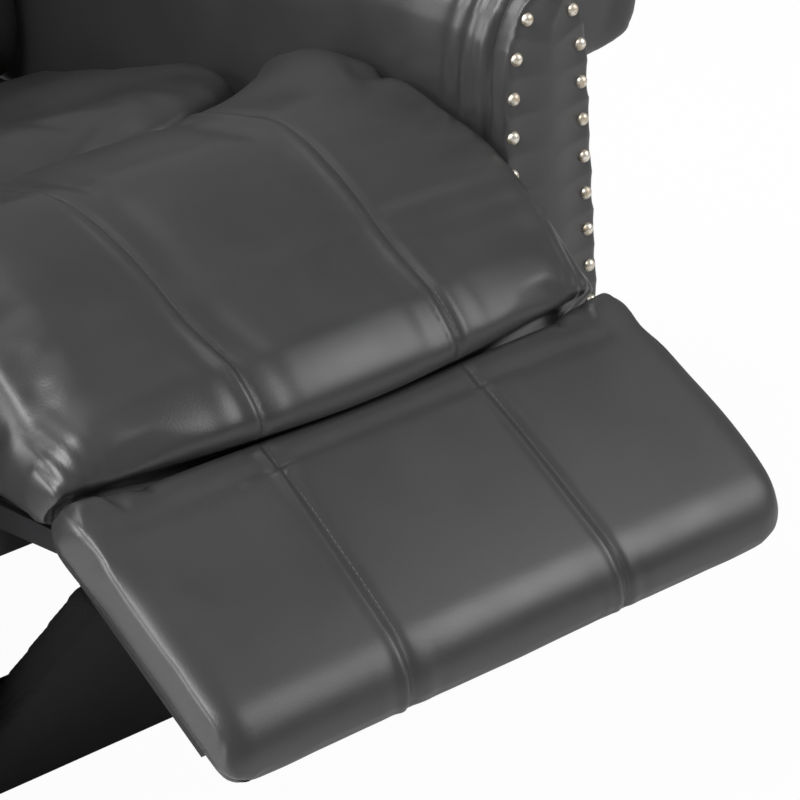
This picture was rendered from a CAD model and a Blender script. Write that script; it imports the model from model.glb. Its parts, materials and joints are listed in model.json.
# %% [markdown]
# A glider recliner in charcoal leather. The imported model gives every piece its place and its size, and this
# lesson dresses it: soft pieces are made from their plain solids by remeshing, smoothing and a short cloth
# simulation, hard pieces keep their shape and get a finish, and small things such as nails are modelled
# here. The chair faces -Y, +Z is up, and lengths are in metres.

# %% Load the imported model
import json
import math

import bpy
from mathutils import Matrix, Vector, noise

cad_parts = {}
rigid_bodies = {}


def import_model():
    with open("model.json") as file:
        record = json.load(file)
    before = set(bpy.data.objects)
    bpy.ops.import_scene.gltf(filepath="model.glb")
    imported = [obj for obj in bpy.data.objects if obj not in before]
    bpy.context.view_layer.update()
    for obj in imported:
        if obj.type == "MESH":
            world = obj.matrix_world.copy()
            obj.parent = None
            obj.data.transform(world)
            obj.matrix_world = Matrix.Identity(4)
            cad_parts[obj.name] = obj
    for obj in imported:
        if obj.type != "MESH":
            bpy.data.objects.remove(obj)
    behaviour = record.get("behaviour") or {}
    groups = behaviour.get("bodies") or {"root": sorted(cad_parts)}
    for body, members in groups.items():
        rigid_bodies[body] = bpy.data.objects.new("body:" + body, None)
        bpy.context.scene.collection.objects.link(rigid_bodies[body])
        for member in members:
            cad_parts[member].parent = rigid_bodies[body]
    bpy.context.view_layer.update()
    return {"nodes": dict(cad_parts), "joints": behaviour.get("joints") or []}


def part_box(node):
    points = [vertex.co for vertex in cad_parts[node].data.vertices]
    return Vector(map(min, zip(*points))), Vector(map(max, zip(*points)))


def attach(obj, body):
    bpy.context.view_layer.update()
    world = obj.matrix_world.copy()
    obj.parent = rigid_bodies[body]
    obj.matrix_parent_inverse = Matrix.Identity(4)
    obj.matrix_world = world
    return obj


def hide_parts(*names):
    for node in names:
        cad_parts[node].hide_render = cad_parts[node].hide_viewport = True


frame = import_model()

mm = 0.001

# %% [markdown]
# The camera comes first, because every later choice is judged through it. The photograph was taken from
# above the chair's right front corner, from over three metres away and with a long lens, so lines that run
# away from the camera hardly converge.

# %% Camera
camera_place = Vector((-1.948, -2.4912, 1.739))
camera_aim = Vector((0.6239, 0.6574, -0.4226))
camera_lens = 190.4
camera_sensor = 36

camera_data = bpy.data.cameras.new("camera")
camera_data.lens = camera_lens
camera_data.sensor_width = camera_sensor
camera = bpy.data.objects.new("camera", camera_data)
camera.location = camera_place
camera.rotation_euler = camera_aim.to_track_quat("-Z", "Y").to_euler()
bpy.context.scene.collection.objects.link(camera)
bpy.context.scene.camera = camera
print("camera at", tuple(round(value, 3) for value in camera_place))

# %% [markdown]
# A studio for dark leather: the leather itself is nearly black, so what is seen of it is mostly the soft
# reflection of large lamps. They stand well round the chair, so every roll of the cushions finds one of
# them to reflect. The floor and the walls are white to the camera. In the gloss they count for less,
# because a full white floor would put a veil over dark leather.

# %% Studio
floor_reach = 12
floor_white_share = 0.97
gloss_share = 0.1
world_grey = 0.19
lamp_distance = 3.4
lamps = {
    "lamp_right": {"toward": (0.62, -0.62, 0.48), "size": 1.7, "power": 44},
    "lamp_left": {"toward": (-0.60, -0.25, 0.76), "size": 1.2, "power": 72},
    "lamp_low": {"toward": (-0.95, 0.15, 0.3), "size": 1.6, "power": 70},
    "lamp_top": {"toward": (0.05, 0.1, 1.0), "size": 2.0, "power": 12},
    "lamp_rear": {"toward": (-0.45, 0.55, 0.7), "size": 2.2, "power": 90},
}
lamp_aim = Vector((0, -0.1, 0.45))


def add_lamp(name, toward, size, power):
    data = bpy.data.lights.new(name, "AREA")
    data.size = size
    data.energy = power
    lamp = bpy.data.objects.new(name, data)
    direction = Vector(toward).normalized()
    lamp.location = lamp_aim + lamp_distance * direction
    lamp.rotation_euler = (-direction).to_track_quat("-Z", "Y").to_euler()
    bpy.context.scene.collection.objects.link(lamp)


for name, settings in lamps.items():
    add_lamp(name, **settings)

world = bpy.data.worlds.new("studio")
bpy.context.scene.world = world
world.use_nodes = True
world_nodes = world.node_tree.nodes
world_links = world.node_tree.links
background = world_nodes["Background"]
background.inputs["Color"].default_value = (1, 1, 1, 1)
ray = world_nodes.new("ShaderNodeLightPath")
ray_shares = {"Is Camera Ray": 1, "Is Glossy Ray": gloss_share, "Is Transmission Ray": gloss_share}
strength = None
for kind, share in ray_shares.items():
    step = world_nodes.new("ShaderNodeMath")
    step.operation = "MULTIPLY_ADD"
    step.inputs[1].default_value = share * (1 - world_grey)
    step.inputs[2].default_value = world_grey
    world_links.new(ray.outputs[kind], step.inputs[0])
    if strength:
        world_links.new(strength, step.inputs[2])
    strength = step.outputs[0]
world_links.new(strength, background.inputs["Strength"])

view = bpy.context.scene.view_settings
view.view_transform = "Standard"
print("studio with", len(lamps), "lamps")

# %% [markdown]
# Finishes are node trees. Writing every Math node by hand is tiring and hard to read, so a small class
# wraps a socket, and sums and products of such values add the nodes. A Finish is one material: its node
# method adds any other node, and its feed method fills sockets with numbers or links.

# %% A socket that can be used in sums
class Value:
    def __init__(self, tree, socket):
        self.tree = tree
        self.socket = socket

    def math(self, operation, *terms):
        node = self.tree.nodes.new("ShaderNodeMath")
        node.operation = operation
        for slot, term in zip(node.inputs, terms):
            if isinstance(term, Value):
                self.tree.links.new(term.socket, slot)
            else:
                slot.default_value = term
        return Value(self.tree, node.outputs[0])

    def __add__(self, other):
        return self.math("ADD", self, other)

    def __sub__(self, other):
        return self.math("SUBTRACT", self, other)

    def __rsub__(self, other):
        return self.math("SUBTRACT", other, self)

    def __mul__(self, other):
        return self.math("MULTIPLY", self, other)

    def __truediv__(self, other):
        return self.math("DIVIDE", self, other)

    def __abs__(self):
        return self.math("ABSOLUTE", self)

    def fraction(self):
        return self.math("FRACT", self)

    def below(self, limit):
        return self.math("LESS_THAN", self, limit)

    __radd__ = __add__
    __rmul__ = __mul__


# %% [markdown]
# A finish starts from the Principled shader. Smooth steps come from Map Range, and all bump is given as a
# height in metres, so that grain stays the size it has on real leather.

# %% One finish
color_slots = (6, 7)    # of a Mix node that mixes colours
color_output = 2


class Finish:
    def __init__(self, name, **surface):
        self.material = bpy.data.materials.new(name)
        self.material.use_nodes = True
        self.tree = self.material.node_tree
        self.surface = self.tree.nodes["Principled BSDF"]
        self.place = self.node("ShaderNodeTexCoord", {}, {}, "Object")
        self.paint(**surface)

    def feed(self, node, inputs):
        for name, value in inputs.items():
            slot = node.inputs[name.replace("_", " ") if isinstance(name, str) else name]
            if isinstance(value, Value):
                self.tree.links.new(value.socket, slot)
            else:
                slot.default_value = value

    def paint(self, **surface):
        self.feed(self.surface, surface)

    def node(self, kind, settings, inputs, output=0):
        node = self.tree.nodes.new(kind)
        for name, value in settings.items():
            setattr(node, name, value)
        self.feed(node, inputs)
        return Value(self.tree, node.outputs[output])

    def noise(self, size, detail=3, stretch=(1, 1, 1)):
        place = self.node("ShaderNodeMapping", {}, {"Vector": self.place, "Scale": stretch})
        return self.node("ShaderNodeTexNoise", {}, {"Vector": place, "Scale": 1 / size, "Detail": detail})

    def cells(self, size):
        return self.node("ShaderNodeTexVoronoi", {}, {"Vector": self.place, "Scale": 1 / size}, "Distance")

    def ramp(self, value, low, high, start, end, smooth=True):
        kind = {"interpolation_type": "SMOOTHSTEP" if smooth else "LINEAR"}
        return self.node("ShaderNodeMapRange", kind,
                         {0: value, 1: low, 2: high, 3: start, 4: end})

    def attribute(self, name):
        return self.node("ShaderNodeAttribute", {"attribute_name": name}, {}, "Fac")

    def tint(self, factor, first, second):
        colors = [color if isinstance(color, Value) else (*color, 1) for color in (first, second)]
        inputs = {0: factor, color_slots[0]: colors[0], color_slots[1]: colors[1]}
        return self.node("ShaderNodeMix", {"data_type": "RGBA"}, inputs, color_output)

    def bump(self, height, strength=1):
        normal = self.node("ShaderNodeBump", {}, {"Height": height, "Strength": strength, "Distance": 1})
        self.paint(Normal=normal)


print("finishes are ready to be written")

# %% [markdown]
# The leather is smooth, charcoal and satin. Three things keep it from looking like plastic: a pebble grain
# a millimetre and a half across, a slow drift of tone and roughness where hands and light have worked on
# it, and faint stretch lines. The sewn pieces carry two numbers at each point, the distance across the
# nearest seam and the distance along it, and from these the stitched leather draws its seam and its thread.

# %% Leather
leather_dark = (0.027, 0.027, 0.0272)
leather_light = (0.036, 0.036, 0.0363)
leather_worn = (0.055, 0.054, 0.052)
thread_grey = (0.040, 0.040, 0.041)
grain_size = 1.6 * mm
grain_height = 0.03 * mm
stretch_size = 11 * mm
stretch_height = 0.05 * mm
drift_size = 80 * mm
roughness_range = (0.32, 0.42)
seam_half_width = 1.4 * mm
seam_depth = 0.3 * mm
thread_offset = 2.6 * mm
thread_half_width = 0.5 * mm
stitch_length = 5 * mm
stitch_share = 0.7
thread_height = 0.2 * mm
edge_range = (0.51, 0.57)
wear_size = 14 * mm
worn_smoother = 0.04


def leather(name, stitched=False):
    finish = Finish(name, Specular_IOR_Level=0.5, Coat_Weight=0.12, Coat_Roughness=0.32)
    drift = finish.noise(drift_size, 4)
    pebbles = finish.ramp(finish.cells(grain_size), 0.1, 0.75, 1, 0)
    creases = finish.noise(stretch_size, 5, (1, 1.6, 1))
    height = pebbles * grain_height + creases * stretch_height
    color = finish.tint(drift, leather_dark, leather_light)
    edges = finish.ramp(finish.node("ShaderNodeNewGeometry", {}, {}, "Pointiness"), *edge_range, 0, 1)
    wear = edges * finish.ramp(finish.noise(wear_size, 4), 0.35, 0.65, 0.2, 1)
    color = finish.tint(wear, color, leather_worn)
    if stitched:
        across = abs(finish.attribute("seam"))
        run = finish.attribute("run")
        groove = finish.ramp(across, 0, seam_half_width, 1, 0)
        on_line = finish.ramp(abs(across - thread_offset), 0, thread_half_width, 1, 0)
        thread = on_line * (run / stitch_length).fraction().below(stitch_share)
        height = height - groove * seam_depth + thread * thread_height
        color = finish.tint(thread, color, thread_grey)
    roughness = finish.ramp(drift, 0.3, 0.7, *roughness_range) - wear * worn_smoother
    finish.paint(Base_Color=color, Roughness=roughness)
    finish.bump(height)
    return finish.material


leather_plain = leather("leather")
leather_sewn = leather("leather_sewn", stitched=True)
print("leather with", round(grain_size / mm, 1), "mm grain")

# %% [markdown]
# The hidden structure is plain: powder-coated steel, planed softwood, woven elastic webbing and moulded
# rubber. The nails are the bright thing in the picture. Their heads are an old pewter brass, darker where
# the lacquer has gone, so metal, colour and roughness all follow the same patchy noise.

# %% Metal, wood, webbing and rubber
steel_dark = (0.010, 0.010, 0.011)
steel_light = (0.020, 0.020, 0.022)
wood_pale = (0.34, 0.22, 0.12)
wood_dark = (0.22, 0.13, 0.065)
stain_dark = (0.030, 0.019, 0.014)
stain_light = (0.075, 0.045, 0.030)
nail_bright = (0.78, 0.74, 0.65)
nail_dull = (0.52, 0.44, 0.33)
webbing_dark = (0.035, 0.030, 0.024)
webbing_light = (0.10, 0.088, 0.066)
lining_dark = (0.004, 0.004, 0.004)
lining_light = (0.010, 0.010, 0.0102)
zinc_dull = (0.50, 0.50, 0.47)
zinc_bright = (0.66, 0.65, 0.60)
rubber_dark = (0.012, 0.012, 0.012)
rubber_light = tuple(1.7 * part for part in rubber_dark)
bands_per_metre = 0.314    # the scale of a Wave node whose bands are a metre apart


def powder_coat(name):
    finish = Finish(name, Metallic=0.0, Specular_IOR_Level=0.3)
    patch = finish.noise(60 * mm, 4)
    finish.paint(Base_Color=finish.tint(patch, steel_dark, steel_light))
    finish.paint(Roughness=finish.ramp(patch, 0.3, 0.7, 0.46, 0.58))
    finish.bump(finish.noise(1.1 * mm, 2) * (0.05 * mm))
    return finish.material


def timber(name, pale, dark, length_axis, gloss):
    stretch = [1.0, 1.0, 1.0]
    stretch[length_axis] = 0.05
    finish = Finish(name, Specular_IOR_Level=0.4)
    grain = finish.noise(7 * mm, 6, tuple(stretch))
    pores = finish.noise(0.9 * mm, 2, tuple(stretch))
    finish.paint(Base_Color=finish.tint(finish.ramp(grain, 0.35, 0.68, 0, 1), pale, dark))
    finish.paint(Roughness=finish.ramp(grain, 0.3, 0.7, gloss, gloss + 0.12))
    finish.bump(pores * (0.08 * mm) + grain * (0.1 * mm))
    return finish.material


def nail_metal(name):
    finish = Finish(name)
    patch = finish.noise(5 * mm, 4)
    tarnish = finish.ramp(patch, 0.4, 0.65, 0, 1)
    finish.paint(Base_Color=finish.tint(tarnish, nail_bright, nail_dull))
    finish.paint(Metallic=finish.ramp(patch, 0.3, 0.7, 1.0, 0.85))
    finish.paint(Roughness=finish.ramp(patch, 0.3, 0.7, 0.36, 0.5))
    finish.bump(finish.noise(1.5 * mm, 3) * (0.03 * mm))
    return finish.material


def woven(name, dark, light, size):
    finish = Finish(name, Specular_IOR_Level=0.2, Roughness=0.85)
    settings = {"wave_type": "BANDS", "wave_profile": "SIN"}
    inputs = {"Vector": finish.place, "Scale": bands_per_metre / size, "Distortion": 0.4}
    across = finish.node("ShaderNodeTexWave", {**settings, "bands_direction": "X"}, inputs)
    along = finish.node("ShaderNodeTexWave", {**settings, "bands_direction": "Y"}, inputs)
    weave = across * along
    finish.paint(Base_Color=finish.tint(weave, dark, light))
    finish.bump(weave * (0.4 * mm))
    return finish.material


def plated(name):
    finish = Finish(name)
    patch = finish.noise(4 * mm, 4)
    finish.paint(Base_Color=finish.tint(patch, zinc_dull, zinc_bright))
    finish.paint(Metallic=finish.ramp(patch, 0.3, 0.7, 1.0, 0.9))
    finish.paint(Roughness=finish.ramp(patch, 0.3, 0.7, 0.30, 0.46))
    finish.bump(finish.noise(0.7 * mm, 2) * (0.02 * mm))
    return finish.material


def moulded_rubber(name):
    finish = Finish(name, Specular_IOR_Level=0.4)
    patch = finish.noise(20 * mm, 4)
    finish.paint(Base_Color=finish.tint(patch, rubber_dark, rubber_light))
    finish.paint(Roughness=finish.ramp(patch, 0.3, 0.7, 0.55, 0.75))
    finish.bump(finish.noise(0.8 * mm, 2) * (0.08 * mm))
    return finish.material


steel = powder_coat("powder_coat")
wood_along_x = timber("wood_across_chair", wood_pale, wood_dark, 0, 0.6)
wood_along_y = timber("wood_along_chair", wood_pale, wood_dark, 1, 0.6)
stained_wood = timber("stained_wood", stain_light, stain_dark, 1, 0.28)
nails = nail_metal("nail_metal")
webbing = woven("webbing", webbing_dark, webbing_light, 2.2 * mm)
rubber = moulded_rubber("rubber")
lining = woven("lining", lining_dark, lining_light, 0.8 * mm)
zinc = plated("zinc_plate")
print("nine finishes beside the leather")

# %% [markdown]
# Everyday helpers. Operators act on whatever is selected, so each step first picks its own piece. A
# modifier is added with its settings and applied at once, which keeps every finished piece a plain mesh.

# %% Picking and applying
scene_objects = bpy.context.scene.collection.objects


def pick(*pieces):
    bpy.ops.object.select_all(action="DESELECT")
    for piece in pieces:
        piece.select_set(True)
    bpy.context.view_layer.objects.active = pieces[0]


def apply(piece, kind, **settings):
    pick(piece)
    modifier = piece.modifiers.new(kind.lower(), kind)
    for name, value in settings.items():
        setattr(modifier, name, value)
    bpy.ops.object.modifier_apply(modifier=modifier.name)


def edit_all(piece, *steps):
    pick(piece)
    bpy.ops.object.mode_set(mode="EDIT")
    bpy.ops.mesh.select_all(action="SELECT")
    for step, settings in steps:
        step(**settings)
    bpy.ops.object.mode_set(mode="OBJECT")


def copy_of(name, *nodes):
    copies = [bpy.data.objects.new(name, frame["nodes"][node].data.copy()) for node in nodes]
    for piece in copies:
        piece.data.materials.clear()
        scene_objects.link(piece)
    pick(*copies)
    if len(copies) > 1:
        bpy.ops.object.join()
    edit_all(copies[0], (bpy.ops.mesh.remove_doubles, {"threshold": 0.01 * mm}))
    return copies[0]


def finish_piece(piece, material, slot, body, *nodes):
    piece.data.materials.clear()
    piece.data.materials.append(material)
    pick(piece)
    bpy.ops.object.shade_smooth()
    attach(piece, body)
    if nodes:
        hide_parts(*nodes)


def dress(material, *nodes):
    for node in nodes:
        for slot in frame["nodes"][node].material_slots:
            slot.material = material


print("helpers for picking, applying and copying are ready")

# %% [markdown]
# Upholstery starts from the plain solid that the frame gives. A voxel remesh turns its facets into an even
# net of small squares, smoothing rounds them away, and a short cloth simulation with air inside makes the
# cover swell between its seams as a filled cushion does. What rests on wood is held still, and no point may
# move further than a cap, so the cushion stays in its place.

# %% Soft pieces
cloth_frames = 20
cloth_pressure = 4


def soften(piece, voxel, passes, shrink):
    edit_all(piece, (bpy.ops.transform.shrink_fatten, {"value": -shrink}))
    apply(piece, "REMESH", mode="VOXEL", voxel_size=voxel)
    apply(piece, "SMOOTH", factor=0.5, iterations=passes)


def puff(piece, cap, is_held):
    mesh = piece.data
    start = [point.co.copy() for point in mesh.vertices]
    held = piece.vertex_groups.new(name="held")
    held.add([point.index for point in mesh.vertices if is_held(point.co, point.normal)], 1, "REPLACE")
    modifier = piece.modifiers.new("cloth", "CLOTH")
    cloth = modifier.settings
    cloth.quality = 5
    cloth.mass = 0.3
    cloth.tension_stiffness = 15
    cloth.compression_stiffness = 15
    cloth.bending_stiffness = 0.6
    cloth.use_pressure = True
    cloth.uniform_pressure_force = cloth_pressure
    cloth.effector_weights.gravity = 0
    cloth.vertex_group_mass = "held"
    modifier.point_cache.frame_end = cloth_frames
    for step in range(1, cloth_frames + 1):
        bpy.context.scene.frame_set(step)
    swollen = piece.evaluated_get(bpy.context.evaluated_depsgraph_get()).data
    places = [point.co.copy() for point in swollen.vertices]
    piece.modifiers.remove(modifier)
    piece.vertex_groups.remove(held)
    furthest = 0
    for point, before, after in zip(mesh.vertices, start, places):
        move = after - before
        furthest = max(furthest, move.length)
        point.co = before + move * min(1, cap / max(move.length, 1e-9))
    bpy.context.scene.frame_set(1)
    print(piece.name, "swelled by up to", round(min(furthest, cap) / mm, 1), "mm")


def calm(piece, passes):
    apply(piece, "SMOOTH", factor=0.5, iterations=passes)


def calm_near(piece, middle, reach, passes):
    group = piece.vertex_groups.new(name="calm")
    for point in piece.data.vertices:
        weight = 1 - step_up((point.co - middle).length, 0.4 * reach, reach)
        group.add([point.index], weight, "REPLACE")
    apply(piece, "SMOOTH", factor=0.5, iterations=passes, vertex_group="calm")
    piece.vertex_groups.clear()


def box_of(piece):
    places = [point.co for point in piece.data.vertices]
    return [Vector([pick_one(place[axis] for place in places) for axis in range(3)]) for pick_one in (min, max)]


def fit(piece, low, high):
    now_low, now_high = box_of(piece)
    for point in piece.data.vertices:
        for axis in range(3):
            share = (point.co[axis] - now_low[axis]) / (now_high[axis] - now_low[axis])
            point.co[axis] = low[axis] + share * (high[axis] - low[axis])


def press(piece, rule):
    mesh = piece.data
    normals = [point.normal.copy() for point in mesh.vertices]
    for point, normal in zip(mesh.vertices, normals):
        point.co += normal * rule(point.co, normal)
    mesh.update()


def mark_seam(piece, across, run):
    mesh = piece.data
    for name, rule in (("seam", across), ("run", run)):
        numbers = mesh.attributes.new(name, "FLOAT", "POINT")
        for point in mesh.vertices:
            numbers.data[point.index].value = rule(point.co)


def hump(distance, width):
    return math.exp(-(distance / width) ** 2)


def step_up(value, low, high):
    share = min(1, max(0, (value - low) / (high - low)))
    return share * share * (3 - 2 * share)


def uneven(place, height, *pace):
    return height * noise.noise(Vector([place[axis] * pace[axis] for axis in range(3)]))


def ridged_channel(across, depth, width):
    ridge = 0.8 * depth * hump(across + 0.75 * width, 0.5 * width)
    return ridge - depth * hump(across, 0.6 * width)


print("cushions are simulated over", cloth_frames, "frames")

# %% [markdown]
# The front seat pad is what the picture shows most of. Two channels run from the rear seam to the crease.
# Each is a pleat, folded over and sewn through to a tape, so it shows as a soft ridge with a dip beside it.
# The pad's front is a full roll, which lies close to the footrest and makes the crease between them. At the
# corners the cover is gathered in short tucks.

# %% Front seat pad
hinge = Vector(next(joint for joint in frame["joints"] if joint["name"] == "footrest_lift")["pos_m"])
pad_low, pad_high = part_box("front_seat_pad")
pad_half = 270.5 * mm
channel_shares = (0.37, 0.45)
channel_run = 330 * mm
channel_depth = 1.8 * mm
channel_width = 9 * mm
crease_y = pad_low.y + 2 * mm
nose_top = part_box("nose_block")[1].z
end_radius = 49 * mm
middle_radius = 38 * mm
bow_half = 262 * mm
bow_forward = 29 * mm
bow_up = 14 * mm
bow_from, bow_to = -0.374, -0.300
crease_play = 0.8 * mm
roll_center = Vector((0, hinge.y + 56 * mm, hinge.z + 28 * mm))
roll_radius = 22 * mm
roll_end = 26 * mm
side_drop = 4 * mm
side_round = 15 * mm
front_side_round = 38 * mm
arm_front_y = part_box("arm_front_panel_right")[0].y
swell_height = 16 * mm
swell_middle, swell_reach = -0.27, 0.18
corner_lift = 4 * mm
lift_across = (60 * mm, 230 * mm)
lift_along = (-0.30, -0.12)
rear_corner = Vector((0.20, -0.03, 0.53))
far_side_share = 0.25
crest_from, crest_to = 0.14, 0.25
crest_high, crest_low = -0.09, -0.21
crest_width = 0.048
crest_lift = 14 * mm
crest_middle = Vector((0.25, -0.07, 0.52))
lip_reach = 62 * mm
lip_play = 0.5 * mm
footrest_slope = math.radians(34)
footrest_top = 28.5 * mm
lay_level = Matrix.Rotation(-footrest_slope, 4, "X") @ Matrix.Translation(-hinge)
swell_lean = Vector((0, -0.5, 0.86))
tuck_pitch = 14 * mm
tuck_depth = 1.4 * mm
tuck_reach = 50 * mm
tuck_band = 60 * mm


def pad_channel(y):
    share = min(1, max(0, (y - crease_y) / channel_run))
    return pad_half * (channel_shares[0] + (channel_shares[1] - channel_shares[0]) * share)


def from_pad_channel(place):
    return abs(place.x) - pad_channel(place.y)


def bow(x):
    return max(0, 1 - (x / bow_half) ** 2)


def crease_radius(x):
    return end_radius - (end_radius - middle_radius) * bow(x)


def corner_rise(place):
    return corner_lift * step_up(place.x, *lift_across) * step_up(place.y, *lift_along)


def swell_pad(piece):
    for point in piece.data.vertices:
        share = max(0, 1 - ((point.co.y - swell_middle) / swell_reach) ** 2)
        point.co += swell_lean * swell_height * share * step_up(point.normal.z, 0, 0.4)
        point.co.z += corner_rise(point.co) * step_up(point.co.z, 0.42, 0.5)


def highest(pairs, step):
    table = {}
    for position, height in pairs:
        row = round(position / step)
        table[row] = max(table.get(row, height), height)
    return table


def sampled(table, step, position):
    row = min(max(position / step, min(table)), max(table))
    share = row - math.floor(row)
    first = table[math.floor(row)]
    return first + (table.get(math.floor(row) + 1, first) - first) * share


def square_sides(piece):
    points = piece.data.vertices
    step = 6 * mm
    ridge = highest([(point.co.y, point.co.z) for point in points if abs(point.co.x) < 60 * mm], step)
    for point in points:
        top = sampled(ridge, step, point.co.y)
        free = 1 - step_up(point.co.y, arm_front_y - 10 * mm, arm_front_y + 40 * mm)
        radius = side_round + (front_side_round - side_round) * free
        edge = pad_half + (pad_high.x - pad_half) * free
        past = min(1, max(0, (abs(point.co.x) - edge + radius) / radius))
        drop = side_drop * (point.co.x / edge) ** 2 + radius * (1 - math.sqrt(1 - past * past))
        drop -= corner_rise(point.co)
        share = step_up(point.normal.z, 0.1, 0.5) * step_up(abs(point.co.x), 60 * mm, 140 * mm)
        share *= step_up(point.co.y, -0.37, -0.34) * (1 - step_up(point.co.y, -0.08, -0.02))
        if point.co.x < 0:
            share *= far_side_share
        point.co.z += max(0, top - drop - point.co.z) * share


def behind_crease(level):
    return level.y - math.sqrt(crease_radius(level.x) ** 2 - footrest_top ** 2)


def round_lip(piece):
    step = 20 * mm
    places = [lay_level @ point.co for point in piece.data.vertices]
    on_crest = [place for place in places if abs(behind_crease(place) - lip_reach) < 5 * mm]
    crest = highest([(place.x, place.z) for place in on_crest], step)
    for point, place in zip(piece.data.vertices, places):
        share = min(1, max(0, behind_crease(place) / lip_reach))
        rise = sampled(crest, step, place.x) - footrest_top
        top = footrest_top + lip_play + rise * math.sqrt(1 - (1 - share) ** 2)
        if share < 1 and place.z > top:
            place.z = top
            point.co = lay_level.inverted() @ place


def roll_front(piece):
    for point in piece.data.vertices:
        inward = pad_high.x - abs(point.co.x)
        shift = Vector((0, -bow_forward, bow_up)) * bow(point.co.x)
        if point.co.z > nose_top + 2 * mm:
            point.co += shift * (1 - step_up(point.co.y, bow_from, bow_to))
        radius = roll_radius * (1 - 0.35 * (1 - step_up(inward, 0, roll_end)))
        offset = point.co - roll_center - shift
        offset.x = 0
        in_front = offset.y < 4 * mm and offset.length > 6 * mm
        if in_front and offset.length < radius and inward > 2 * mm:
            point.co += offset.normalized() * (radius - offset.length)
        from_hinge = Vector((0, point.co.y - hinge.y, point.co.z - hinge.z))
        clear = crease_radius(point.co.x) + crease_play
        if from_hinge.length < clear:
            point.co += from_hinge.normalized() * (clear - from_hinge.length)
        if point.co.y < -0.34:
            point.co.z = max(point.co.z, nose_top + 0.8 * mm)


def lift_crest(piece):
    for point in piece.data.vertices:
        near = step_up(point.co.x, crest_from, crest_to) * step_up(point.co.z, 0.46, 0.50)
        rise = hump(point.co.y - crest_high, crest_width) - hump(point.co.y - crest_low, crest_width)
        point.co.z += crest_lift * near * rise


def shape_front_pad(place, normal):
    up = max(0, normal.z - 0.5 * normal.y) ** 0.5
    across = from_pad_channel(place) + uneven(place, 1.5 * mm, 14, 14, 14)
    near_crease = 1 - step_up(place.y - crease_y, 0, 60 * mm)
    channel = ridged_channel(across * (1 if place.x > 0 else -1), channel_depth * (1 + 0.5 * near_crease),
                             channel_width)
    pucker = 0.8 * mm * near_crease * hump(across, 26 * mm) * math.sin(across / (4.2 * mm))
    inward = pad_high.x - abs(place.x)
    corner = 1 - step_up(inward, 0, tuck_band)
    tucks = corner * (1 - step_up(place.y - crease_y, 8 * mm, tuck_reach + 10 * mm))
    wave = 0.5 - 0.5 * math.cos(2 * math.pi * (inward + 0.35 * (place.z - crease_y)) / tuck_pitch)
    soft = uneven(place, 1.3 * mm, 5, 7, 5)
    return up * (soft + channel + pucker) - tuck_depth * tucks * wave


front_pad = copy_of("front_pad", "front_seat_pad")
soften(front_pad, 6 * mm, 5, 2 * mm)
puff(front_pad, 10 * mm, lambda place, normal: normal.z < -0.5)
calm(front_pad, 4)
fit(front_pad, pad_low, pad_high)
swell_pad(front_pad)
square_sides(front_pad)
calm(front_pad, 3)
roll_front(front_pad)
round_lip(front_pad)
calm(front_pad, 3)
calm_near(front_pad, rear_corner, 110 * mm, 40)
lift_crest(front_pad)
calm_near(front_pad, crest_middle, 90 * mm, 14)
apply(front_pad, "SUBSURF", levels=1, render_levels=1)
press(front_pad, shape_front_pad)
mark_seam(front_pad, from_pad_channel, lambda place: place.y * 1.2)
finish_piece(front_pad, leather_sewn, "leather", "chair", "front_seat_pad")
print("front pad:", len(front_pad.data.vertices), "points")

# %% [markdown]
# The rear seat cushion is a plain filled cover. Its front lies against the front pad's bowed rear edge, and
# a short slack wrinkle crosses it where a sitter's weight has pulled the leather towards the arm.

# %% Rear seat cushion
cushion_low, cushion_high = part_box("rear_seat_cushion")
wrinkle_start = Vector((0.03, -0.02, 0.47))
wrinkle_run = Vector((0.10, 0.035, 0))
filled_from = 0.055
filled_width = 0.05
filled_height = 18 * mm


def distance_to_run(place, start, run):
    share = min(1, max(0, (place - start).dot(run) / run.length_squared))
    return (place - start - run * share).length, share


def shape_rear_cushion(place, normal):
    up = max(0, normal.z)
    gap, share = distance_to_run(Vector((place.x, place.y, wrinkle_start.z)), wrinkle_start, wrinkle_run)
    wrinkle = 2.5 * mm * hump(gap, 6 * mm) * math.sin(math.pi * max(0.02, share))
    soft = uneven(place, 2.2 * mm, 6, 5, 5)
    return up * (soft - wrinkle)


def fill_rear_cushion(piece):
    for point in piece.data.vertices:
        away = 1 - hump(point.co.y - filled_from, filled_width)
        away *= step_up(abs(point.co.x), 20 * mm, 160 * mm) * (1 - step_up(point.co.y, 0.24, 0.30))
        point.co.z += filled_height * away * step_up(point.normal.z, 0, 0.5)


rear_cushion = copy_of("rear_cushion", "rear_seat_cushion")
soften(rear_cushion, 7 * mm, 5, 2 * mm)
puff(rear_cushion, 10 * mm, lambda place, normal: normal.z < -0.5)
calm(rear_cushion, 4)
fit(rear_cushion, cushion_low, cushion_high)
fill_rear_cushion(rear_cushion)
calm(rear_cushion, 2)
apply(rear_cushion, "SUBSURF", levels=1, render_levels=1)
press(rear_cushion, shape_rear_cushion)
finish_piece(rear_cushion, leather_plain, "leather", "chair", "rear_seat_cushion")
print("rear cushion:", len(rear_cushion.data.vertices), "points")

# %% [markdown]
# The footrest pad carries the same two channels over its top and round its front. It slopes in the picture,
# so the copy is first laid level with its hinge at the origin, where heights and lengths are plain
# coordinates, and it is turned back when it is done. Its rear end is a round about the hinge, which keeps
# the crease closed as it swings. A welt runs round its sides, low down, where the top cover meets the
# boxing.

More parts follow.
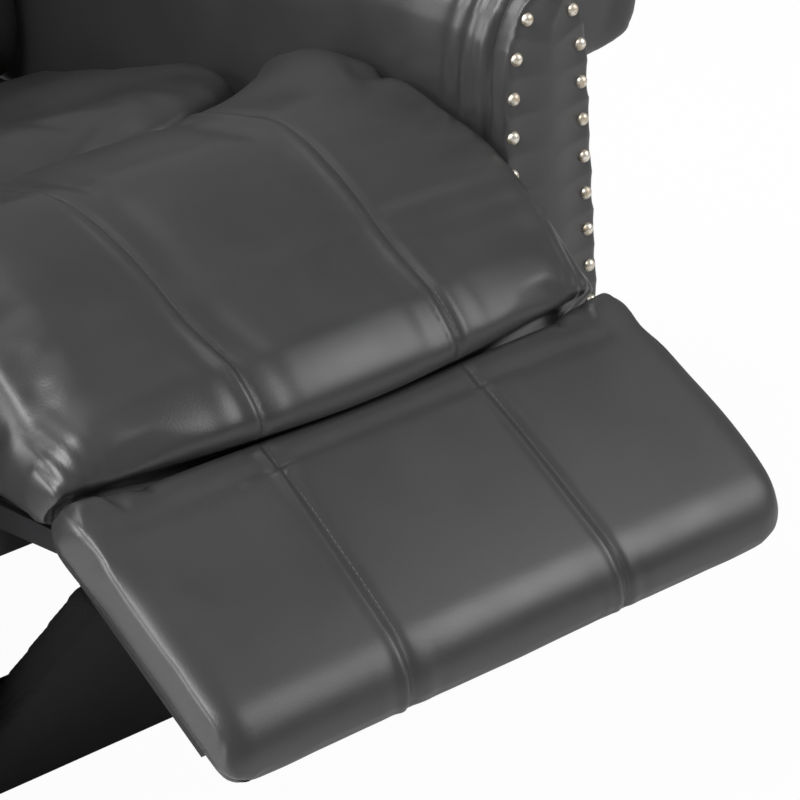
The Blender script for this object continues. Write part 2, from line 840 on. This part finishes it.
# %% Footrest pad
footrest_half = 286 * mm
footrest_length = 198 * mm
footrest_round = 42.5 * mm
footrest_shares = (0.36, 0.39)
footrest_crown = 4 * mm
crown_middle = 65 * mm
crown_reach = 130 * mm
front_round = 50 * mm
end_round = 28 * mm
drop_round = 38 * mm
end_drop = 22 * mm
side_bulge = {"right": 18 * mm, "left": 3 * mm}
bulge_lean = 1.2
side_draw = 3 * mm
rear_radius = 26 * mm
notch_from, notch_to = 244 * mm, 273 * mm
notch_stretch = 2.2
corner_spare = 3 * mm
plan_round = 24 * mm
under_round = 18 * mm
welt_height = -13 * mm
welt_rise = 1.6 * mm


def from_footrest_channel(place):
    share = min(1, max(0, -place.y / footrest_length))
    rear_share, front_share = footrest_shares
    return abs(place.x) - footrest_half * (rear_share + (front_share - rear_share) * share)


def crown_top(x, ahead, front):
    past_front = min(1, max(0, ahead - front + front_round) / front_round)
    past_end = min(1, max(0, abs(x) - footrest_half + end_round) / end_round)
    ends = end_drop * (0.4 + 0.6 * step_up(ahead, 0, 60 * mm))
    drop = drop_round * (1 - math.sqrt(1 - past_front ** 2)) + ends * (1 - math.sqrt(1 - past_end ** 2))
    drop = min(drop, drop_round)
    crown = (1 - (x / footrest_half) ** 2) * max(0, 1 - ((ahead - crown_middle) / crown_reach) ** 2)
    return footrest_top + footrest_crown * crown - drop


def round_top(piece):
    front = -box_of(piece)[0].y
    for point in piece.data.vertices:
        top = crown_top(point.co.x, -point.co.y, front)
        if point.co.z < footrest_top - drop_round:
            continue
        if point.co.z > top:
            point.co.z = top
        elif point.co.y < 20 * mm:
            point.co.z += (top - point.co.z) * step_up(point.normal.z, 0.2, 0.6)


def bulge_sides(piece):
    low, high = box_of(piece)
    for point in piece.data.vertices:
        side = 1 if point.co.x > 0 else -1
        ahead = min(1, max(0, -point.co.y / -low.y))
        near_side = step_up(abs(point.co.x), footrest_half - 70 * mm, footrest_half)
        out = side_bulge["right" if side > 0 else "left"] * math.sin(math.pi * ahead ** bulge_lean) ** 0.6
        under = 1 - step_up(point.co.z, low.z, 14 * mm)
        point.co.x += side * near_side * (out * (1 - under) - side_draw * under * step_up(ahead, 0, 0.2))


def square_rear(piece):
    for point in piece.data.vertices:
        offset = Vector((0, point.co.y, point.co.z))
        if point.co.y < 0 or offset.length < 5 * mm:
            continue
        angle = math.atan2(point.co.z, point.co.y)
        corner = crease_radius(point.co.x) + corner_spare
        low = min(footrest_round, corner)
        reach = low + (corner - low) * step_up(math.degrees(angle), 15, 22)
        reach = min(reach, footrest_top / max(0.05, math.sin(angle)))
        if notch_from < abs(point.co.x) < notch_to:
            back = math.sqrt(corner ** 2 - footrest_top ** 2)
            point.co.y = min(back, point.co.y * notch_stretch)
            continue
        grown = (reach - rear_radius) * min(1.4, offset.length / rear_radius) ** 1.5
        share = step_up(math.degrees(angle), -30, -5)
        point.co += offset.normalized() * min(grown, reach - offset.length) * share
        point.co.z = min(point.co.z, crown_top(point.co.x, 0, 1))


def round_corners(piece):
    low, high = box_of(piece)
    for point in piece.data.vertices:
        side = 1 if point.co.x > 0 else -1
        limit = high.x if side > 0 else -low.x
        radius = plan_round + under_round * (1 - step_up(point.co.z, low.z, 5 * mm))
        middle = Vector((side * (limit - radius), low.y + radius, point.co.z))
        offset = point.co - middle
        if side * offset.x > 0 and offset.y < 0 and offset.length > radius:
            point.co = middle + offset.normalized() * radius


def shape_footrest(place, normal):
    ahead, height = -place.y, place.z
    above = step_up(height, -12 * mm, 4 * mm) * (1 - abs(normal.x)) * (1 - step_up(normal.y, 0.1, 0.6))
    across = from_footrest_channel(place) + uneven(place, 1.2 * mm, 15, 15, 15)
    near_end = 1 - step_up(ahead, 0, 50 * mm) + step_up(ahead, 150 * mm, 190 * mm)
    channel = ridged_channel(across * (1 if place.x > 0 else -1), channel_depth * (1 + 0.4 * near_end),
                             channel_width)
    pucker = 0.6 * mm * near_end * hump(across, 24 * mm) * math.sin(across / (4 * mm))
    soft = uneven(place, 1.0 * mm, 6, 8, 6)
    side = step_up(abs(normal.x) + max(0, -normal.y), 0.35, 0.8)
    welt = hump(height - welt_height, 2.6 * mm) - hump(height - welt_height - 6 * mm, 3.4 * mm)
    return above * (soft + channel + pucker) + side * welt * welt_rise


footrest = copy_of("footrest", "footrest_pad")
footrest.data.transform(lay_level)
footrest_box = box_of(footrest)
print("footrest, laid level:", *[[round(value / mm) for value in corner] for corner in footrest_box], "mm")
soften(footrest, 5 * mm, 5, 1.5 * mm)
puff(footrest, 6 * mm, lambda place, normal: normal.z < -0.5)
calm(footrest, 6)
fit(footrest, *footrest_box)
round_top(footrest)
square_rear(footrest)
round_corners(footrest)
bulge_sides(footrest)
calm(footrest, 2)
apply(footrest, "SUBSURF", levels=1, render_levels=1)
press(footrest, shape_footrest)
mark_seam(footrest, from_footrest_channel, lambda place: place.y)
footrest.data.transform(lay_level.inverted())
finish_piece(footrest, leather_sewn, "leather", "footrest", "footrest_pad")
print("footrest:", len(footrest.data.vertices), "points")

# %% [markdown]
# Each arm is one leather cover over a board: it climbs the inside, rolls over the top and is drawn in under
# the roll. So the two plain solids of the inside and the roll are joined before the remesh, which closes
# the thin gap between them. Where the cover is pulled round to the front it stands in upright folds beside
# the nails.

# %% Arm covers
sides = {"right": 1, "left": -1}
arm_low, arm_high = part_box("arm_roll_right")
fold_lines = ((10 * mm, 2.5 * mm), (27 * mm, 4.5 * mm), (47 * mm, 2.5 * mm))
fold_width = 7.5 * mm
roll_bulge = 15 * mm


def shape_arm(side):
    def rule(place, normal):
        behind = place.y - arm_low.y
        inner = step_up(-side * normal.x, 0.1, 0.7)
        fade = step_up(place.z, 0.40, 0.50)
        sway = 4 * mm * noise.noise(Vector((place.z * 9, side * 3.0, 0)))
        folds = sum(height * hump(behind - line - sway, fold_width) for line, height in fold_lines)
        drawn_in = 5 * mm * (1 - step_up(behind, 40 * mm, 105 * mm))
        soft = uneven(place, 1.6 * mm, 8, 6, 9)
        outer = roll_bulge * step_up(side * normal.x, 0.0, 0.8) * step_up(place.z, 0.53, 0.56)
        return soft + outer + inner * fade * (folds - drawn_in)
    return rule


for name, side in sides.items():
    inner_node, roll_node = "arm_inner_pad_" + name, "arm_roll_" + name
    cover = copy_of("arm_cover_" + name, inner_node, roll_node)
    cover_box = box_of(cover)
    soften(cover, 6 * mm, 4, 0.8 * mm)
    fit(cover, *cover_box)
    apply(cover, "SUBSURF", levels=1, render_levels=1)
    press(cover, shape_arm(side))
    finish_piece(cover, leather_plain, "leather", "chair", inner_node, roll_node)
    print(cover.name, len(cover.data.vertices), "points")

# %% [markdown]
# The front of each arm is a shaped panel, nailed on last. Its middle is slightly crowned by the padding
# under it and it dips along the nails. The nail heads are domes, modelled once and copied to the places
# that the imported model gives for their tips.

# %% Arm front panels and nails
panel_crown = 3.5 * mm
nail_radius = 5.8 * mm
nail_height = 4.8 * mm
nail_sink = 0.9 * mm


def nail_tips(node):
    mesh = frame["nodes"][node].data
    front = min(point.co.y for point in mesh.vertices)
    tips = []
    for point in mesh.vertices:
        near_tip = point.co.y < front + 0.2 * mm
        if near_tip and all((point.co - tip).length > 2 * nail_radius for tip in tips):
            tips.append(point.co.copy())
    return tips


def add_nail(tip, front):
    bpy.ops.object.select_all(action="DESELECT")
    bpy.ops.mesh.primitive_uv_sphere_add(segments=20, ring_count=10, radius=nail_radius,
                                         location=(tip.x, front, tip.z), rotation=(math.pi / 2, 0, 0),
                                         scale=(1, 1, nail_height / nail_radius))
    bpy.ops.object.transform_apply(location=True, rotation=True, scale=True)
    return bpy.context.active_object


def shape_panel(tips, front):
    def rule(place, normal):
        ahead = step_up(-normal.y, 0.5, 0.9)
        gap = min(((place.x - tip.x) ** 2 + (place.z - tip.z) ** 2) ** 0.5 for tip in tips)
        dimple = 0.8 * mm * hump(gap, 1.3 * nail_radius)
        soft = uneven(place, 0.7 * mm, 11, 11, 11)
        return ahead * (panel_crown * step_up(gap, 4 * mm, 40 * mm) - dimple + soft)
    return rule


for name, side in sides.items():
    panel_node, nail_node = "arm_front_panel_" + name, "nail_trim_" + name
    tips = nail_tips(nail_node)
    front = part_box(panel_node)[0].y
    panel = copy_of("arm_front_" + name, panel_node)
    soften(panel, 4 * mm, 4, 0.3 * mm)
    fit(panel, *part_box(panel_node))
    apply(panel, "SUBSURF", levels=1, render_levels=1)
    press(panel, shape_panel(tips, front))
    finish_piece(panel, leather_plain, "leather", "chair", panel_node)
    heads = [add_nail(tip, front + nail_sink) for tip in tips]
    pick(*heads)
    bpy.ops.object.join()
    heads[0].name = "nail_heads_" + name
    finish_piece(heads[0], nails, "nails", "chair", nail_node)
    print(len(tips), "nails on the", name, "arm")

# %% [markdown]
# The outside of each arm, the toe board, the apron and the outer back are leather over a thin pad on a
# board. Each swells a little in its middle and is flat along its edges, where it is tacked. One rule serves
# them all: the rise depends on the distance from the nearest edge, seen square on.

# %% Panels on boards
def shape_board(low, high, flat_axis, rise, width):
    axes = [axis for axis in range(3) if axis != flat_axis]

    def rule(place, normal):
        edge = min(min(place[axis] - low[axis], high[axis] - place[axis]) for axis in axes)
        facing = step_up(abs(normal[flat_axis]), 0.5, 0.9)
        soft = uneven(place, 1.2 * mm, 7, 7, 7)
        return facing * (rise * step_up(edge, 0, width) + soft)
    return rule


def upholster_board(name, node, body, flat_axis, rise, width, voxel=6 * mm, cover=leather_plain):
    piece = copy_of(name, node)
    soften(piece, voxel, 4, 0.8 * mm)
    fit(piece, *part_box(node))
    apply(piece, "SUBSURF", levels=1, render_levels=1)
    press(piece, shape_board(*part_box(node), flat_axis, rise, width))
    finish_piece(piece, cover, "leather", body, node)
    print(name, len(piece.data.vertices), "points")


for name in sides:
    upholster_board("arm_outside_" + name, "arm_outer_panel_" + name, "chair", 0, 2 * mm, 60 * mm, 7 * mm)
upholster_board("toe_cover", "toe_board", "chair", 1, 1.5 * mm, 40 * mm, cover=lining)
upholster_board("front_rail_cover", "seat_rail_front", "chair", 1, 0.5 * mm, 10 * mm, 4 * mm)
upholster_board("nose_cover", "nose_block", "chair", 1, 0.5 * mm, 10 * mm, 4 * mm)
upholster_board("apron_cover", "rear_apron", "chair", 1, 1 * mm, 40 * mm, 5 * mm)
upholster_board("outer_back_cover", "back_outer_panel", "back", 1, 3 * mm, 80 * mm, 7 * mm)

# %% [markdown]
# The back is three filled lobes, sewn to the frame between them. They are puffed like the seat, a little
# more, and the leather is gathered at the two seams, so short upright puckers fan away from each.

# %% Back cushions
pucker_pitch = 17 * mm
pucker_height = 1.2 * mm
pucker_reach = 34 * mm


def shape_lobe(low, high):
    def rule(place, normal):
        ahead = step_up(-normal.y, 0.0, 0.6)
        from_end = min(place.z - low.z, high.z - place.z)
        fade = (1 - step_up(from_end, 6 * mm, pucker_reach)) * step_up(from_end, 0, 6 * mm)
        phase = place.x / pucker_pitch + 1.6 * noise.noise(Vector((place.x * 13, low.z, 0)))
        fade *= 0.5 + noise.noise(Vector((place.x * 19, low.z * 3, 7)))
        soft = uneven(place, 2.2 * mm, 5, 5, 6)
        return ahead * (soft + pucker_height * fade * math.sin(2 * math.pi * phase))
    return rule


for part in ("lower", "middle", "upper"):
    node = "back_cushion_" + part
    lobe = copy_of("back_lobe_" + part, node)
    soften(lobe, 7 * mm, 5, 2.5 * mm)
    puff(lobe, 12 * mm, lambda place, normal: normal.y > 0.5)
    calm(lobe, 4)
    fit(lobe, *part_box(node))
    apply(lobe, "SUBSURF", levels=1, render_levels=1)
    press(lobe, shape_lobe(*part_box(node)))
    finish_piece(lobe, leather_plain, "leather", "back", node)
    print(lobe.name, len(lobe.data.vertices), "points")

# %% [markdown]
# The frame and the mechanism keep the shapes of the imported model, and take their finishes. Each wooden rail
# gets the timber whose grain runs along it.

# %% Frame and mechanism
dress(wood_along_x, "seat_rail_rear", "footrest_board")
dress(wood_along_y, "seat_rail_right", "seat_rail_left")
dress(lining, "arm_board_right", "arm_board_left")
dress(leather_plain, "back_rail_right", "back_rail_left", "back_top_rail")
dress(steel, "base_crossbar_front", "base_crossbar_rear", "torque_shaft")
dress(webbing, "seat_webbing_1", "seat_webbing_2", "seat_webbing_3")
for name in sides:
    dress(steel, "base_rail_" + name, "mechanism_plate_" + name, "footrest_arm_" + name, "drive_link_" + name,
          "back_hinge_arm_" + name)
    for end in ("front", "rear"):
        dress(steel, f"hanger_post_{end}_{name}", f"glider_link_{end}_{name}")
print("frame and mechanism are dressed")

# %% [markdown]
# A turned rubber foot stands under each end of the base rails. It is a short cylinder whose side faces are
# inset one by one, which makes the ribs that a moulded foot is gripped by, with a hollow underneath.

# %% Feet
foot_rib = 0.9 * mm
foot_hollow = 6 * mm


def select_faces(piece, test):
    pick(piece)
    for face in piece.data.polygons:
        face.select = test(face)
    bpy.ops.object.mode_set(mode="EDIT")
    bpy.context.tool_settings.mesh_select_mode = (False, False, True)


def add_foot(name, node):
    low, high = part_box(node)
    middle = (low + high) / 2
    bpy.ops.object.select_all(action="DESELECT")
    bpy.ops.mesh.primitive_cylinder_add(vertices=36, radius=(high.x - low.x) / 2, depth=high.z - low.z,
                                        location=middle)
    bpy.ops.object.transform_apply(location=True, rotation=True, scale=True)
    foot = bpy.context.active_object
    foot.name = name
    select_faces(foot, lambda face: abs(face.normal.z) < 0.1)
    bpy.ops.mesh.inset(thickness=foot_rib, depth=-foot_rib, use_individual=True)
    bpy.ops.object.mode_set(mode="OBJECT")
    select_faces(foot, lambda face: face.normal.z < -0.9)
    bpy.ops.mesh.inset(thickness=foot_hollow)
    bpy.ops.mesh.inset(thickness=foot_rib, depth=-2 * foot_rib)
    bpy.ops.object.mode_set(mode="OBJECT")
    apply(foot, "BEVEL", width=0.5 * mm, segments=2, limit_method="ANGLE", angle_limit=math.radians(40))
    finish_piece(foot, rubber, "rubber", "base", node)
    pick(foot)
    bpy.ops.object.shade_smooth_by_angle(angle=math.radians(35))


for name in sides:
    for end in ("front", "rear"):
        add_foot(f"foot_{end}_{name}", f"foot_pad_{end}_{name}")
print("four feet")

# %% [markdown]
# Every pivot is held by a bolt. A hexagonal head with a chamfer stands on a thin washer, and both turn with
# the link that the bolt goes through.

# %% Bolts
head_radius = 7 * mm
head_height = 4 * mm
washer_radius = 9 * mm
washer_height = 1.2 * mm


def add_disc(radius, corners, start, end, place, bevel):
    bpy.ops.object.select_all(action="DESELECT")
    bpy.ops.mesh.primitive_cylinder_add(vertices=corners, radius=radius, depth=abs(end - start),
                                        location=((start + end) / 2, *place), rotation=(0, math.pi / 2, 0))
    bpy.ops.object.transform_apply(location=True, rotation=True, scale=True)
    disc = bpy.context.active_object
    apply(disc, "BEVEL", width=bevel, segments=2, limit_method="ANGLE", angle_limit=math.radians(40))
    return disc


def add_bolt(name, body, x, direction, y, z):
    shoulder = x + direction * washer_height
    washer = add_disc(washer_radius, 28, x, shoulder, (y, z), 0.3 * mm)
    head = add_disc(head_radius, 6, shoulder, shoulder + direction * head_height, (y, z), 0.7 * mm)
    pick(head, washer)
    bpy.ops.object.join()
    head.name = name
    finish_piece(head, zinc, "steel", body)
    pick(head)
    bpy.ops.object.shade_smooth_by_angle(angle=math.radians(35))


for name, side in sides.items():
    for end in ("front", "rear"):
        link_low, link_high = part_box(f"glider_link_{end}_{name}")
        inner = min(abs(link_low.x), abs(link_high.x))
        outer = max(abs(link_low.x), abs(link_high.x))
        y = (link_low.y + link_high.y) / 2
        link_eye = (link_high.y - link_low.y) / 2
        body = f"link_{end}_{name}"
        add_bolt(f"bolt_top_{end}_{name}", body, side * inner, -side, y, link_high.z - link_eye)
        add_bolt(f"bolt_low_{end}_{name}", body, side * inner, -side, y, link_low.z + link_eye)
        add_bolt(f"nut_low_{end}_{name}", body, side * outer, side, y, link_low.z + link_eye)
    recline = Vector(next(joint for joint in frame["joints"] if joint["name"] == "back_recline")["pos_m"])
    hinge_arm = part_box("back_hinge_arm_" + name)
    outer = max(abs(hinge_arm[0].x), abs(hinge_arm[1].x))
    add_bolt("bolt_back_" + name, "back", side * outer, side, recline.y, recline.z)
print("bolts at", len(sides) * 7, "pivots")

# %% [markdown]
# The release handle is a flat wooden lever, rounded all over by sanding. The plain lever is remeshed finely
# and smoothed, which rounds every edge evenly. A screw holds it on the end of the torque shaft.

# %% Release handle
handle = copy_of("handle", "release_handle")
soften(handle, 1.6 * mm, 8, 0)
fit(handle, *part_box("release_handle"))
apply(handle, "SUBSURF", levels=1, render_levels=1)
finish_piece(handle, stained_wood, "handle_wood", "shaft", "release_handle")
shaft_joint = next(joint for joint in frame["joints"] if joint["name"] == "shaft_turn")["pos_m"]
add_bolt("handle_screw", "shaft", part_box("release_handle")[0].x, -1, shaft_joint[1], shaft_joint[2])
print("handle:", len(handle.data.vertices), "points")

# %% [markdown]
# The floor is white paper. To the camera, and in the gloss of the nails, most of its white is its own, and
# the rest is lit by the lamps, so the chair still leaves a soft shadow on it.

# %% Floor
paper_grey, paper_white = (0.80, 0.80, 0.80), (0.82, 0.82, 0.82)
paper_cloud = 0.4
bpy.ops.object.select_all(action="DESELECT")
bpy.ops.mesh.primitive_grid_add(x_subdivisions=4, y_subdivisions=4, size=2 * floor_reach)
floor = bpy.context.active_object
floor.name = "floor"
paper = Finish("floor_paper", Roughness=0.9)
paper.paint(Base_Color=paper.tint(paper.noise(paper_cloud), paper_grey, paper_white))
path = paper.tree.nodes.new("ShaderNodeLightPath")
glow = paper.tree.nodes.new("ShaderNodeEmission")
mixer = paper.tree.nodes.new("ShaderNodeMixShader")
seen = sum(Value(paper.tree, path.outputs[kind]) * share for kind, share in ray_shares.items())
paper.feed(mixer, {0: seen * floor_white_share, 1: Value(paper.tree, paper.surface.outputs[0]),
                   2: Value(paper.tree, glow.outputs[0])})
paper.tree.links.new(mixer.outputs[0], paper.tree.nodes["Material Output"].inputs["Surface"])
floor.data.materials.append(paper.material)
print("floor", 2 * floor_reach, "m across")
